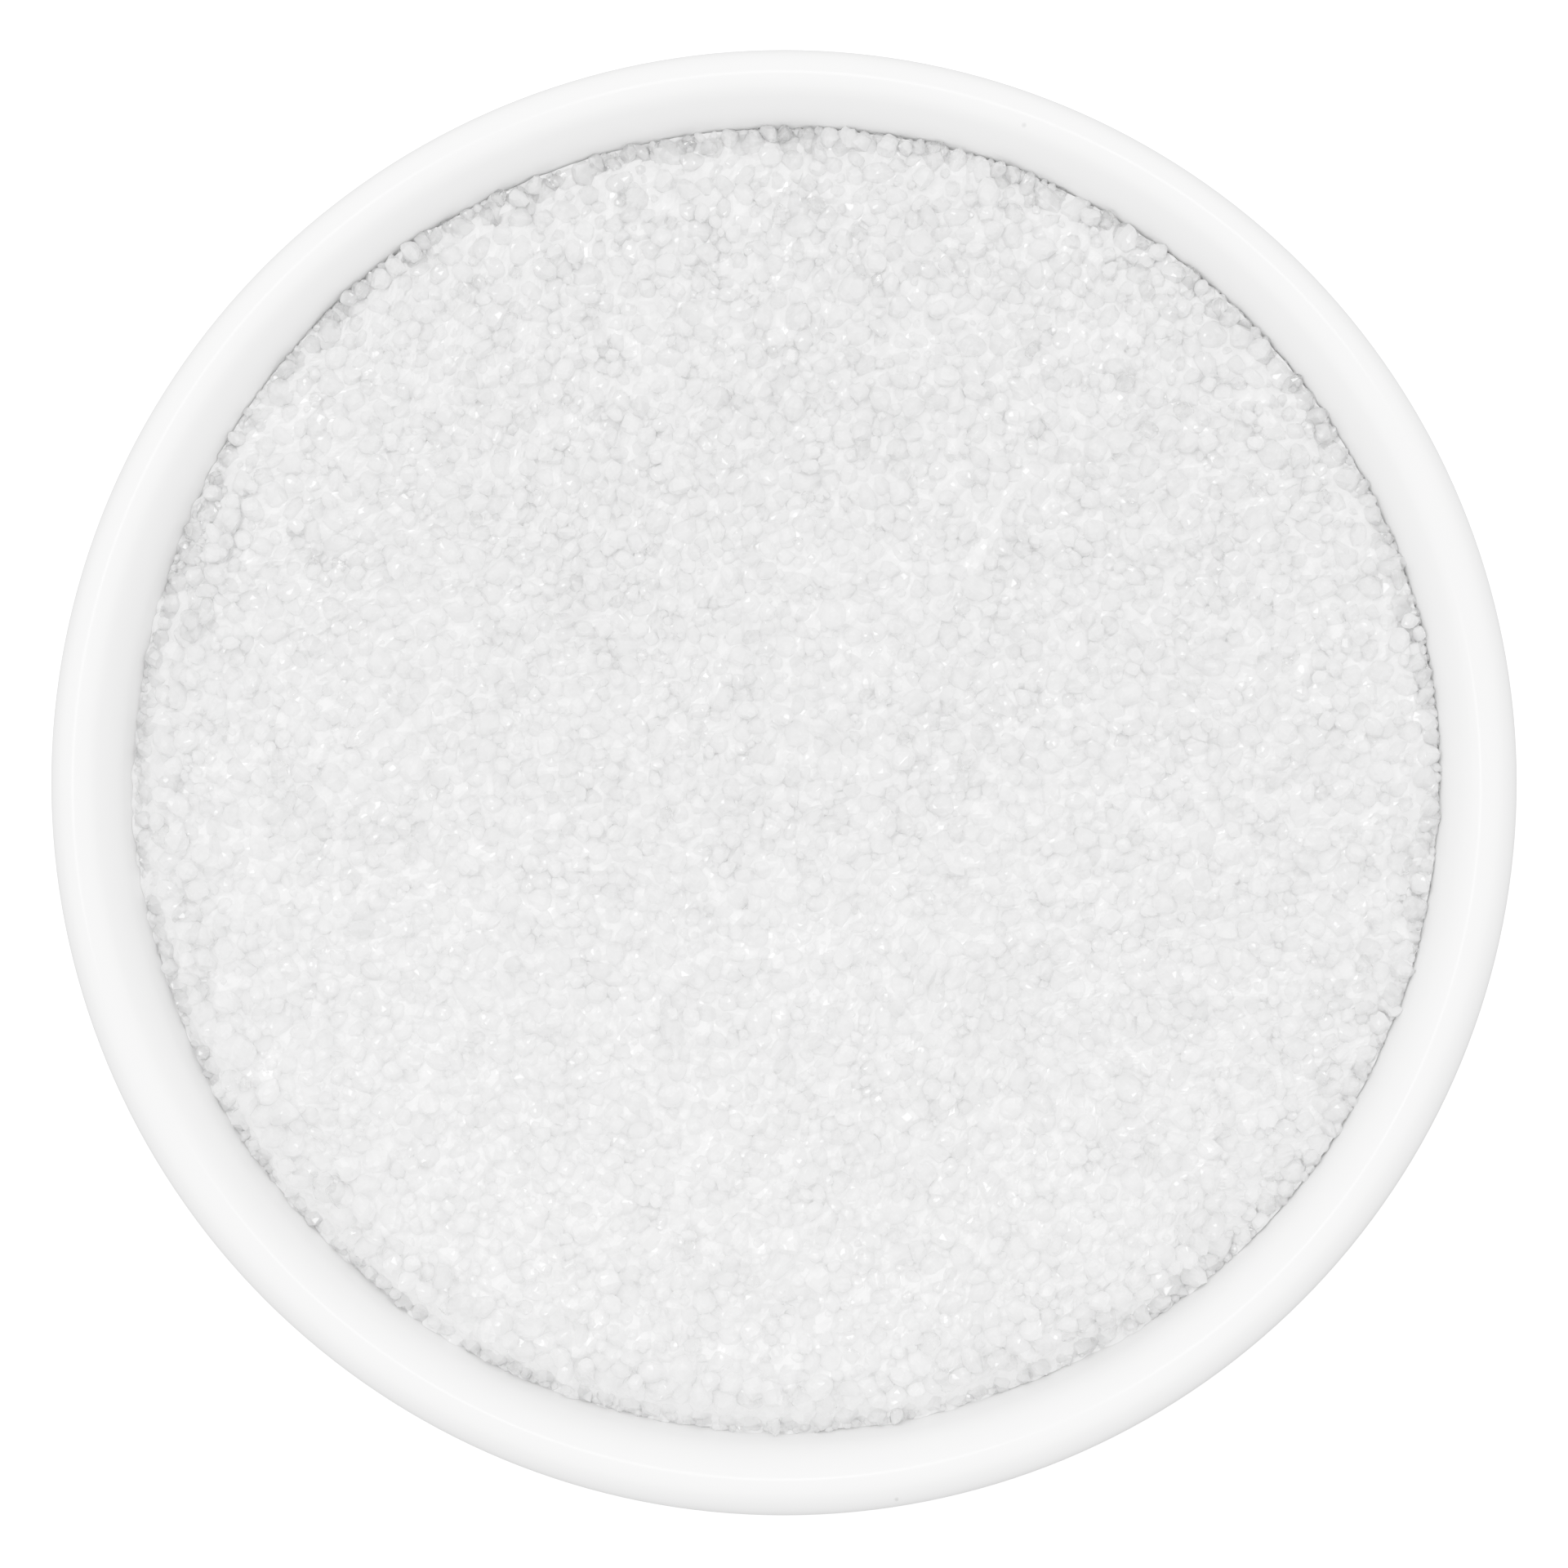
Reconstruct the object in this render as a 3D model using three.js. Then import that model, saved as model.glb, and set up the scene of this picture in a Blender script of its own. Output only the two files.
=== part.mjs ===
// A small round glazed dish, filled to the brim with coarse, rounded crystals of granulated sweetener.
// Millimetres, +Z up. The origin is on the table, at the centre of the dish's foot ring.
//
// The dish is one lathed body: a rolled lip, a wall that leans outwards, a round corner and a foot ring.
// The sweetener is one body that fills the dish. Its top is a gently domed heap whose crystals show as
// bumps of their own size, laid out in rings, and it stays clear of the dish by a small gap.

import * as THREE from "three";

// ---- The dish's driving dimensions
const DISH_HEIGHT = 20;
const RIM_RADIUS = 30; // the outermost point of the lip
const LIP_ROUND = 1.2; // radius of the lip's outer half
const LIP_INNER_ROUND = 1.2; // radius of the lip where it turns down into the dish
const LIP_INNER_TURN = degrees(40); // how far that round goes
const THROAT_ROUND = 3; // the wider round below it, down to the straight wall
const WALL_SLOPE = degrees(74); // the straight wall, from horizontal
const WALL_THICKNESS = 2.2;
const FLOOR_HEIGHT = 3.6; // the inside floor above the table
const CORNER_ROUND = 6; // between the inside floor and the wall
const LIP_UNDERCUT = degrees(70); // how far the lip curls under, below its outermost point
const LIP_HOLLOW = 1; // how far down the wall the hollow under the lip reaches
const FOOT_OUTER_RADIUS = 19.4;
const FOOT_INNER_RADIUS = 16.9;
const FOOT_EDGE = 0.4; // the foot ring's rounded edges
const FOOT_RECESS = 0.9; // depth of the hollow inside the foot ring
const DISH_FACETS = 60; // round the dish

// ---- The sweetener's driving dimensions
const WALL_GAP = 0.3; // between the sweetener and the dish
const CRYSTAL_PITCH = 1; // from one crystal to the next
const CRYSTAL_RISE = 0.45; // a crystal's top above the hollows round it
const CRYSTAL_RISE_SPREAD = 0.2;
const CRYSTAL_SHIFT = 0.26; // how far a crystal lies from its even place
const HOLLOW_SHIFT = 0.06;
const HEAP_EDGE_HEIGHT = 17.9; // the heap where it meets the wall
const HEAP_SHOULDER_RISE = 1.25; // the quick rise next to the wall
const HEAP_SHOULDER_STEEP = 0.9; // over this distance on the steep side
const HEAP_SHOULDER_WIDE = 2.6; // and over this one on the far side
const HEAP_STEEP_SIDE = degrees(235); // the steep side's direction, from +X
const HEAP_DOME_RISE = 0.6; // the slow rise towards the middle
const HEAP_SWELLS = [
  { height: 0.14, length: 21, direction: degrees(40), phase: 1.3 },
  { height: 0.1, length: 13, direction: degrees(128), phase: 0.4 },
  { height: 0.06, length: 8.5, direction: degrees(75), phase: 2.2 },
];
const EDGE_DROP = 0.45; // an edge crystal's flank, below the heap's surface
const EDGE_CRYSTAL_INSET = 0.5; // the last ring of tops, in from the heap's edge
const EDGE_NOTCH = 0.25; // between two edge crystals, in from the heap's edge
const EDGE_UNEVENNESS = 0.12; // how far an edge crystal may fall short of it
const SWEETENER_FACETS = 48; // round the underside
const SEED = 20;

const FULL_TURN = 2 * Math.PI;
const STRAIGHT_UP = Math.PI / 2;

function degrees(angle) {
  return (angle * Math.PI) / 180;
}

// Repeatable random numbers, each from 0 to 1.
function randomSource(seed) {
  let state = seed;
  return () => {
    state = (state + 0x6d2b79f5) | 0;
    let mixed = Math.imul(state ^ (state >>> 15), 1 | state);
    mixed = (mixed + Math.imul(mixed ^ (mixed >>> 7), 61 | mixed)) ^ mixed;
    return ((mixed ^ (mixed >>> 14)) >>> 0) / 4294967296;
  };
}

// ---- The dish. Its profile's points are (radius, height), and angles are from outwards, counterclockwise.

function onCircle(centre, radius, angle) {
  return new THREE.Vector2(
    centre.x + radius * Math.cos(angle),
    centre.y + radius * Math.sin(angle),
  );
}

function arc(centre, radius, start, end, steps) {
  return Array.from({ length: steps + 1 }, (_, i) =>
    onCircle(centre, radius, start + ((end - start) * i) / steps),
  );
}

// The wall's place: its rounds above and below follow from the lip and the floor.
function layOutWall() {
  const crestRadius = RIM_RADIUS - LIP_ROUND;
  const outerLip = new THREE.Vector2(crestRadius, DISH_HEIGHT - LIP_ROUND);
  const innerLip = new THREE.Vector2(crestRadius, DISH_HEIGHT - LIP_INNER_ROUND);
  // The throat's round starts where the lip's inner round ends, in the same direction.
  const innerLipEnd = STRAIGHT_UP + LIP_INNER_TURN;
  const throat = onCircle(innerLip, LIP_INNER_ROUND - THROAT_ROUND, innerLipEnd);
  const facing = STRAIGHT_UP + WALL_SLOPE; // from the wall into the dish
  const top = onCircle(throat, THROAT_ROUND, facing);
  // The corner's round is tangent to the floor and to the straight wall.
  const cornerHeight = FLOOR_HEIGHT + CORNER_ROUND;
  const footHeight = cornerHeight - CORNER_ROUND * Math.sin(facing);
  const footRadius = top.x - (top.y - footHeight) / Math.tan(WALL_SLOPE);
  const corner = new THREE.Vector2(
    footRadius + CORNER_ROUND * Math.cos(facing),
    cornerHeight,
  );
  return { outerLip, innerLip, innerLipEnd, throat, facing, top, corner };
}

// The inside of the dish, or of a gap left along it: from the floor's middle up to the wall's top.
function insideProfile(wall, gap, cornerSteps) {
  const floorMiddle = new THREE.Vector2(0, FLOOR_HEIGHT + gap);
  const corner = arc(
    wall.corner,
    CORNER_ROUND - gap,
    -STRAIGHT_UP,
    wall.facing - Math.PI,
    cornerSteps,
  );
  return [floorMiddle, ...corner, onCircle(wall.top, gap, wall.facing)];
}

// The whole dish: up the inside, over the lip, down the outside and under the foot.
function dishProfile(wall) {
  const throat = arc(
    wall.throat,
    THROAT_ROUND,
    wall.facing,
    wall.innerLipEnd,
    3,
  );
  const innerLip = arc(
    wall.innerLip,
    LIP_INNER_ROUND,
    wall.innerLipEnd,
    STRAIGHT_UP,
    3,
  );
  const outerLip = arc(wall.outerLip, LIP_ROUND, STRAIGHT_UP, -LIP_UNDERCUT, 7);

  // Under the lip the outside turns down into the wall in one soft hollow.
  const underLip = outerLip[outerLip.length - 1];
  const outerTop = onCircle(wall.top, -WALL_THICKNESS, wall.facing);
  const onOuterWall = (height) =>
    new THREE.Vector2(
      outerTop.x + (height - outerTop.y) / Math.tan(WALL_SLOPE),
      height,
    );
  const hollow = new THREE.QuadraticBezierCurve(
    underLip,
    onOuterWall(underLip.y),
    onOuterWall(outerTop.y - LIP_HOLLOW),
  ).getPoints(3);

  // The outer corner runs round the same centre as the inner one, down to the foot ring.
  const cornerRound = CORNER_ROUND + WALL_THICKNESS;
  const footAngle = -Math.acos((FOOT_OUTER_RADIUS - wall.corner.x) / cornerRound);
  const corner = arc(wall.corner, cornerRound, wall.facing - Math.PI, footAngle, 5);
  const foot = [
    [FOOT_OUTER_RADIUS, FOOT_EDGE],
    [FOOT_OUTER_RADIUS - FOOT_EDGE, 0],
    [FOOT_INNER_RADIUS + FOOT_EDGE, 0],
    [FOOT_INNER_RADIUS, FOOT_EDGE],
    [FOOT_INNER_RADIUS - FOOT_EDGE, FOOT_RECESS],
    [0, FOOT_RECESS],
  ].map(([radius, height]) => new THREE.Vector2(radius, height));

  return [
    ...insideProfile(wall, 0, 5),
    ...throat.slice(1),
    ...innerLip.slice(1),
    ...outerLip.slice(1),
    ...hollow.slice(1),
    ...corner,
    ...foot,
  ];
}

function makeDish(wall) {
  const geometry = new THREE.LatheGeometry(dishProfile(wall).reverse(), DISH_FACETS);
  geometry.rotateX(STRAIGHT_UP); // a lathe turns about Y
  const glaze = new THREE.MeshStandardMaterial({
    color: 0xf6f6f5,
    roughness: 0.18,
    metalness: 0,
  });
  const dish = new THREE.Mesh(geometry, glaze);
  dish.name = "dish";
  return dish;
}

// ---- The sweetener

// The vertices and triangles of the sweetener's closed surface, as they are made.
class Surface {
  positions = [];
  triangles = [];

  point(x, y, z) {
    this.positions.push(x, y, z);
    return this.positions.length / 3 - 1;
  }

  x(index) {
    return this.positions[3 * index];
  }

  y(index) {
    return this.positions[3 * index + 1];
  }

  angle(index) {
    return (Math.atan2(this.y(index), this.x(index)) + FULL_TURN) % FULL_TURN;
  }

  // A closed ring's vertices in order of angle from a start, with the first one again at the end.
  unrolled(ring, start) {
    const places = ring.map((index) => ({
      index,
      angle: (this.angle(index) - start + FULL_TURN) % FULL_TURN,
    }));
    places.sort((one, other) => one.angle - other.angle);
    places.push({ index: places[0].index, angle: places[0].angle + FULL_TURN });
    return places;
  }

  // The faces between two closed rings, facing up where the first ring lies inside the second. Each face
  // goes one step along the ring that lags behind or, if they may have four corners, along both.
  facesBetween(inner, outer, fourCorners) {
    const start = this.angle(inner[0]);
    const a = this.unrolled(inner, start);
    const b = this.unrolled(outer, start);
    const halfway = (places, i) =>
      i + 1 < places.length
        ? (places[i].angle + places[i + 1].angle) / 2
        : Infinity;
    const near = fourCorners ? FULL_TURN / inner.length / 2 : 0;
    const faces = [];
    let i = 0;
    let j = 0;
    while (i + 1 < a.length || j + 1 < b.length) {
      const lag = halfway(b, j) - halfway(a, i);
      const face = [a[i].index, b[j].index];
      if (lag < near) {
        j++;
        face.push(b[j].index);
      }
      if (lag > -near || face.length === 2) {
        i++;
        face.push(a[i].index);
      }
      faces.push(face);
    }
    return faces;
  }

  geometry() {
    return new THREE.BufferGeometry()
      .setAttribute(
        "position",
        new THREE.Float32BufferAttribute(this.positions, 3),
      )
      .setIndex(this.triangles.flat());
  }
}

// The heap's general height, without its crystals.
function heapHeight(x, y, heapRadius) {
  const radius = Math.min(Math.hypot(x, y), heapRadius);
  const steepness = 0.5 + 0.5 * Math.cos(Math.atan2(y, x) - HEAP_STEEP_SIDE);
  const shoulder = THREE.MathUtils.lerp(
    HEAP_SHOULDER_WIDE,
    HEAP_SHOULDER_STEEP,
    steepness,
  );
  let height = HEAP_EDGE_HEIGHT;
  height += HEAP_SHOULDER_RISE * (1 - Math.exp((radius - heapRadius) / shoulder));
  height += HEAP_DOME_RISE * (1 - (radius / heapRadius) ** 2);
  for (const swell of HEAP_SWELLS) {
    const along = x * Math.cos(swell.direction) + y * Math.sin(swell.direction);
    height +=
      swell.height * Math.sin((FULL_TURN * along) / swell.length + swell.phase);
  }
  return height;
}

// The crystals' tops, in rings round the middle one. Ring k holds 6k of them, all about a pitch apart.
function addCrystalTops(surface, random, heapRadius) {
  const lastRadius = heapRadius - EDGE_CRYSTAL_INSET;
  const ringCount = Math.round(lastRadius / CRYSTAL_PITCH);
  const offset = (size) => size * (2 * random() - 1);
  const rings = [];
  for (let k = 0; k <= ringCount; k++) {
    const count = Math.max(1, 6 * k);
    const radius = (k * lastRadius) / ringCount;
    const shift = k === ringCount ? CRYSTAL_SHIFT / 2 : CRYSTAL_SHIFT;
    const firstTurn = random() * FULL_TURN;
    const ring = [];
    for (let j = 0; j < count; j++) {
      const turn = firstTurn + (FULL_TURN * j) / count;
      const x = radius * Math.cos(turn) + offset(shift);
      const y = radius * Math.sin(turn) + offset(shift);
      const rise = CRYSTAL_RISE + offset(CRYSTAL_RISE_SPREAD);
      ring.push(surface.point(x, y, heapHeight(x, y, heapRadius) + rise));
    }
    ring.sort((one, other) => surface.angle(one) - surface.angle(other));
    rings.push(ring);
  }
  return rings;
}

// A hollow in the middle of each face between crystal tops, kept by each side of the face.
function addHollows(surface, random, heapRadius, faces) {
  const hollowBeside = new Map();
  const shift = () => HOLLOW_SHIFT * (2 * random() - 1);
  for (const face of faces) {
    let x = shift();
    let y = shift();
    for (const index of face) {
      x += surface.x(index) / face.length;
      y += surface.y(index) / face.length;
    }
    const hollow = surface.point(x, y, heapHeight(x, y, heapRadius));
    face.forEach((from, i) => {
      const to = face[(i + 1) % face.length];
      hollowBeside.set(`${from} ${to}`, hollow);
    });
  }
  return hollowBeside;
}

// The heap's edge: each crystal of the last ring bulges towards the wall, and meets the next one in a
// notch. Returns the border's vertices in order.
function addHeapEdge(surface, random, heapRadius, tops, hollowBeside) {
  const onFlank = (turn, radius) => {
    const x = radius * Math.cos(turn);
    const y = radius * Math.sin(turn);
    return surface.point(x, y, heapHeight(x, y, heapRadius) - EDGE_DROP);
  };
  const next = tops.map((_, j) => tops[(j + 1) % tops.length]);
  const notches = tops.map((top, j) => {
    const turn = surface.angle(top);
    const step = (surface.angle(next[j]) - turn + FULL_TURN) % FULL_TURN;
    return onFlank(turn + step / 2, heapRadius - EDGE_NOTCH);
  });
  const border = [];
  tops.forEach((top, j) => {
    const before = notches.at(j - 1);
    const after = notches[j];
    const bulge = onFlank(
      surface.angle(top),
      heapRadius - EDGE_UNEVENNESS * random(),
    );
    const hollow = hollowBeside.get(`${top} ${next[j]}`);
    surface.triangles.push(
      [top, before, bulge],
      [top, bulge, after],
      [hollow, top, after],
      [hollow, after, next[j]],
    );
    border.push(bulge, after);
  });
  return border;
}

// The heap's top. Round every crystal top the hollows are joined to each other, so that each crystal is a
// low faceted cone. Returns the border's vertices.
function addHeapTop(surface, random, heapRadius) {
  const rings = addCrystalTops(surface, random, heapRadius);
  const [[middle], firstRing] = rings;
  const faces = firstRing.map((top, j) => [
    middle,
    top,
    firstRing[(j + 1) % firstRing.length],
  ]);
  for (let k = 1; k < rings.length - 1; k++) {
    faces.push(...surface.facesBetween(rings[k], rings[k + 1], true));
  }
  const hollowBeside = addHollows(surface, random, heapRadius, faces);
  for (const [side, hollow] of hollowBeside) {
    const [from, to] = side.split(" ").map(Number);
    const across = hollowBeside.get(`${to} ${from}`);
    if (across !== undefined) surface.triangles.push([from, across, hollow]);
  }
  return addHeapEdge(surface, random, heapRadius, rings.at(-1), hollowBeside);
}

// The underside, which follows the inside of the dish from the heap's border down to the floor.
function addUnderside(surface, wall, border) {
  const corner = insideProfile(wall, WALL_GAP, 4).slice(1, -1);
  let above = border;
  for (const { x: radius, y: height } of corner.reverse()) {
    const ring = Array.from({ length: SWEETENER_FACETS }, (_, j) => {
      const turn = (FULL_TURN * j) / SWEETENER_FACETS;
      return surface.point(radius * Math.cos(turn), radius * Math.sin(turn), height);
    });
    for (const face of surface.facesBetween(ring, above, false)) {
      surface.triangles.push(face.reverse());
    }
    above = ring;
  }
  const middle = surface.point(0, 0, FLOOR_HEIGHT + WALL_GAP);
  above.forEach((index, j) =>
    surface.triangles.push([middle, above[(j + 1) % above.length], index]),
  );
}

function makeSweetener(wall) {
  // The heap's border lies along the straight wall, a gap away from it.
  const borderHeight = HEAP_EDGE_HEIGHT - EDGE_DROP;
  const wallRadius = wall.top.x - (wall.top.y - borderHeight) / Math.tan(WALL_SLOPE);
  const heapRadius = wallRadius - WALL_GAP / Math.sin(WALL_SLOPE);

  const surface = new Surface();
  const border = addHeapTop(surface, randomSource(SEED), heapRadius);
  addUnderside(surface, wall, border);
  const crystal = new THREE.MeshStandardMaterial({
    color: 0xeeeeee,
    roughness: 0.35,
    metalness: 0,
    flatShading: true,
  });
  const sweetener = new THREE.Mesh(surface.geometry(), crystal);
  sweetener.name = "sweetener";
  return sweetener;
}

const wall = layOutWall();
const filledDish = new THREE.Group();
filledDish.add(makeDish(wall), makeSweetener(wall));

export default filledDish;
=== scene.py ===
"""A small glazed dish filled to the brim with coarse, translucent crystals of granulated sweetener.

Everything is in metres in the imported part's own frame: +Z up, with the origin on the table under the
dish's centre. The dish is turned from one profile. The sweetener is a solid core whose top has a relief
of half sunk crystals, with thousands of loose crystals settled on it, up to the part's own heap.
"""

import math
from collections import defaultdict
from typing import NamedTuple

import bmesh
import bpy
import numpy as np
from bpy.props import FloatProperty, FloatVectorProperty, IntProperty, PointerProperty
from bpy.types import Operator, Panel, PropertyGroup
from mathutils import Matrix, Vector


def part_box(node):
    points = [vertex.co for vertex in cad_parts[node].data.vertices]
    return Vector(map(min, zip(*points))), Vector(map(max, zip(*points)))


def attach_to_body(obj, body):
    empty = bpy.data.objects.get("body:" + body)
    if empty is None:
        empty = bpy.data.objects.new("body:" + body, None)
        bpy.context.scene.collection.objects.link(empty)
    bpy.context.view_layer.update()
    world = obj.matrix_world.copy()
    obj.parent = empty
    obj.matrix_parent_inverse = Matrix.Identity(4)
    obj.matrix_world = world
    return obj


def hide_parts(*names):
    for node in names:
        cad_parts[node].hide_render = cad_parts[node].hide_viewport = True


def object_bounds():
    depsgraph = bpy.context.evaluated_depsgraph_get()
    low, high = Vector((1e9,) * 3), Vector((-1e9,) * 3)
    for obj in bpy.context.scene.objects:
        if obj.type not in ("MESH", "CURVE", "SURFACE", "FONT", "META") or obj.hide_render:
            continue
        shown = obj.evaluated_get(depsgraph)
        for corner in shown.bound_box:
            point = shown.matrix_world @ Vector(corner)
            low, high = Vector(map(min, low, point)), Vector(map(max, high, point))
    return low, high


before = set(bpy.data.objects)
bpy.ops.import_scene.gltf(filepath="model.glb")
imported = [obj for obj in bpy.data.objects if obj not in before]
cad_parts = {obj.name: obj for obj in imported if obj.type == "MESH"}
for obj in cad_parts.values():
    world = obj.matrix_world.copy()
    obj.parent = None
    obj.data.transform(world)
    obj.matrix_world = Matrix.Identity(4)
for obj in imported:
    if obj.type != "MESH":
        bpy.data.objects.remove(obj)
CAD_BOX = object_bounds()
DISH_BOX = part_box("dish")

bl_info = {
    "name": "Dish of Granulated Sweetener",
    "version": (1, 0, 0),
    "blender": (4, 5, 0),
    "location": "View3D > Sidebar > Sweetener",
    "description": "Builds a glazed dish filled with loose sweetener crystals, on a lit table",
    "category": "Add Mesh",
}

MM = 0.001
WHITE = (1, 1, 1)
FULL_TURN = 2 * math.pi
STRAIGHT_UP = math.pi / 2

# The photograph's frame and what is placed by it, in its pixels, with y down
PHOTO_SIDE = 1920
DISH_MIDDLE_PX = (960.0, 958.4)
SPECKS_PX = ((1254.0, 153.0), (1098.0, 1837.0))
SENSOR_WIDTH = 36  # in millimetres, as the lens's focal length


# ---- Settings that show in the sidebar


def length(name, description, default):
    """A size in metres."""
    return FloatProperty(
        name=name,
        description=description,
        default=default,
        min=0.0,
        precision=5,
        unit="LENGTH",
    )


def angle(name, description, degrees):
    """An angle, stated in degrees."""
    return FloatProperty(
        name=name,
        description=description,
        default=math.radians(degrees),
        subtype="ANGLE",
    )


def colour(name, description, default):
    """A colour in linear red, green and blue."""
    return FloatVectorProperty(
        name=name,
        description=description,
        default=default,
        min=0.0,
        max=1.0,
        size=3,
        subtype="COLOR",
    )


class DishSettings(PropertyGroup):
    """The dish's profile and glaze."""

    rim_radius: length("Rim radius", "Out to the lip's edge", CAD_BOX[1].x)
    height: length("Height", "From the table to the lip's crest", DISH_BOX[1].z)
    lip_round: length("Lip round", "Of the lip's outer half", 1.2 * MM)
    lip_inner_round: length("Inner lip round", "Where the lip turns down", 1.2 * MM)
    lip_inner_turn: angle("Inner lip turn", "How far that round goes", 40)
    throat_round: length("Throat round", "From the lip to the wall", 3 * MM)
    wall_slope: angle("Wall slope", "The straight wall, from horizontal", 74)
    wall_thickness: length("Wall", "Thickness of the wall", 2.2 * MM)
    floor_height: length("Floor", "The inside floor above the table", 3.6 * MM)
    corner_round: length("Corner round", "Between floor and wall", 6 * MM)
    lip_undercut: angle("Lip undercut", "How far the lip curls under", 70)
    lip_hollow: length("Lip hollow", "Its reach down the outer wall", 1 * MM)
    foot_outer_radius: length("Foot outside", "Of the foot ring", 19.4 * MM)
    foot_inner_radius: length("Foot inside", "Of the foot ring", 16.9 * MM)
    foot_edge: length("Foot edge", "The foot ring's rounded edges", 0.4 * MM)
    foot_recess: length("Foot recess", "The hollow in the foot ring", 0.9 * MM)
    segments: IntProperty(name="Segments", description="Round the dish", default=256, min=12)
    glaze: colour("Glaze", "The dish's white glaze", (0.8, 0.8, 0.797))
    bare_clay: colour("Bare clay", "The foot's unglazed ring", (0.72, 0.69, 0.64))


class SweetenerSettings(PropertyGroup):
    """The heap's shape and its crystals."""

    wall_gap: length("Wall gap", "Between the part's solid and the dish", 0.3 * MM)
    edge_height: length("Edge height", "The heap at the wall", 17.9 * MM)
    edge_drop: length("Edge drop", "The outermost crystals' flanks", 0.45 * MM)
    shoulder_rise: length("Shoulder rise", "The quick rise by the wall", 1.25 * MM)
    shoulder_steep: length("Steep shoulder", "Its width on one side", 0.9 * MM)
    shoulder_wide: length("Wide shoulder", "Its width on the other", 2.6 * MM)
    steep_side: angle("Steep side", "Its direction, from +X", 235)
    dome_rise: length("Dome rise", "The slow rise to the middle", 0.6 * MM)
    crystal_rise: length("Crystal rise", "Tops above the surface", 0.45 * MM)
    core_gap: length("Core gap", "Between the visible core and the dish", 0.02 * MM)
    core_rise: length("Core rise", "The core's top above the surface", 0.02 * MM)
    core_edge_rise: length("Core edge rise", "The same at the wall", 0.12 * MM)
    core_edge_steep: length("Steep core edge", "Its width, on one side", 1.2 * MM)
    core_edge_wide: length("Wide core edge", "Its width, on the other", 3.4 * MM)
    ledge_width: length("Ledge width", "The lower ring on the steep side", 1.45 * MM)
    ledge_drop: length("Ledge drop", "How far that ring is down", 0.75 * MM)
    smallest: length("Smallest crystal", "Its width", 0.5 * MM)
    largest: length("Largest crystal", "Its width", 1.38 * MM)
    seed: IntProperty(name="Seed", description="Of every random draw", default=20)
    tint: colour("Crystals", "The crystals' own colour", (0.985, 0.985, 0.985))
    # Painted shade: a colour that darkens the crystals on one side of the heap
    painted_shade_tint: colour("Painted shade", "Times that on the side with painted shade", (0.86, 0.86, 0.86))


class StageSettings(PropertyGroup):
    """The table, the light and the camera."""

    table: colour("Table", "The plain table", (0.9, 0.9, 0.9))
    table_glow: FloatProperty(
        name="Table glow", description="The table's own light", default=0.8, min=0.0
    )
    sky_dim: FloatProperty(
        name="Dim sky", description="The sky's darkest side", default=0.45, min=0.0
    )
    sky_bright: FloatProperty(
        name="Bright sky", description="The sky's lightest side", default=1.2, min=0.0
    )
    sky_side: angle("Sky's side", "Where the sky is lightest, from +X", 110)
    sky_rise: angle("Sky's rise", "How high it is lightest", 45)
    horizon: FloatProperty(
        name="Horizon", description="The sky's light there", default=0.55, min=0.0
    )
    window_power: FloatProperty(
        name="Windows",
        description="Each soft light's power",
        default=0.3,
        min=0.0,
        unit="POWER",
    )
    window_distance: length("Window distance", "From the dish", 0.45)
    window_width: length("Window width", "Of a soft light", 0.3)
    window_height: length("Window height", "Of a soft light", 0.07)
    camera_height: length("Camera height", "Above the table", 0.2863)
    lens: FloatProperty(
        name="Lens", description="Focal length in millimetres", default=150.0, min=1.0
    )


# ---- The dish's profile: points of (radius, height), with angles from outwards, counterclockwise


def on_circle(centre, radius, turn):
    return centre + radius * np.array([math.cos(turn), math.sin(turn)])


def arc(centre, radius, start, end, steps):
    return np.array(
        [on_circle(centre, radius, turn) for turn in np.linspace(start, end, steps + 1)]
    )


class Wall:
    """The dish's wall, whose rounds above and below follow from the lip and the floor."""

    def __init__(self, dish):
        crest = dish.rim_radius - dish.lip_round
        self.slope = dish.wall_slope
        self.lean = 1 / math.sin(self.slope)
        self.outer_lip = np.array([crest, dish.height - dish.lip_round])
        self.inner_lip = np.array([crest, dish.height - dish.lip_inner_round])
        self.inner_lip_end = STRAIGHT_UP + dish.lip_inner_turn
        self.throat = on_circle(
            self.inner_lip, dish.lip_inner_round - dish.throat_round, self.inner_lip_end
        )
        self.facing = STRAIGHT_UP + dish.wall_slope
        self.top = on_circle(self.throat, dish.throat_round, self.facing)
        corner_height = dish.floor_height + dish.corner_round
        foot_height = corner_height - dish.corner_round * math.sin(self.facing)
        corner_radius = self.radius_at(foot_height) + dish.corner_round * math.cos(self.facing)
        self.corner = np.array([corner_radius, corner_height])

    def radius_at(self, height):
        """The straight wall's radius at a height."""
        return self.top[0] - (self.top[1] - height) / math.tan(self.slope)


def inside_profile(dish, wall, gap, steps):
    """From the floor's middle up to the straight wall's top, or a gap inside that."""
    corner = arc(
        wall.corner,
        dish.corner_round - gap,
        -STRAIGHT_UP,
        wall.facing - math.pi,
        steps,
    )
    return np.vstack([[0, dish.floor_height + gap], corner, on_circle(wall.top, gap, wall.facing)])


def under_lip_hollow(dish, wall, under_lip, steps):
    """The soft hollow that turns the lip's underside down into the outer wall."""
    outer_top = on_circle(wall.top, -dish.wall_thickness, wall.facing)

    def on_outer_wall(height):
        run = (height - outer_top[1]) / math.tan(dish.wall_slope)
        return np.array([outer_top[0] + run, height])

    bend = on_outer_wall(under_lip[1])
    end = on_outer_wall(outer_top[1] - dish.lip_hollow)
    share = np.linspace(0, 1, steps + 1)[:, None]
    return (1 - share) ** 2 * under_lip + 2 * share * (1 - share) * bend + share**2 * end


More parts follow.
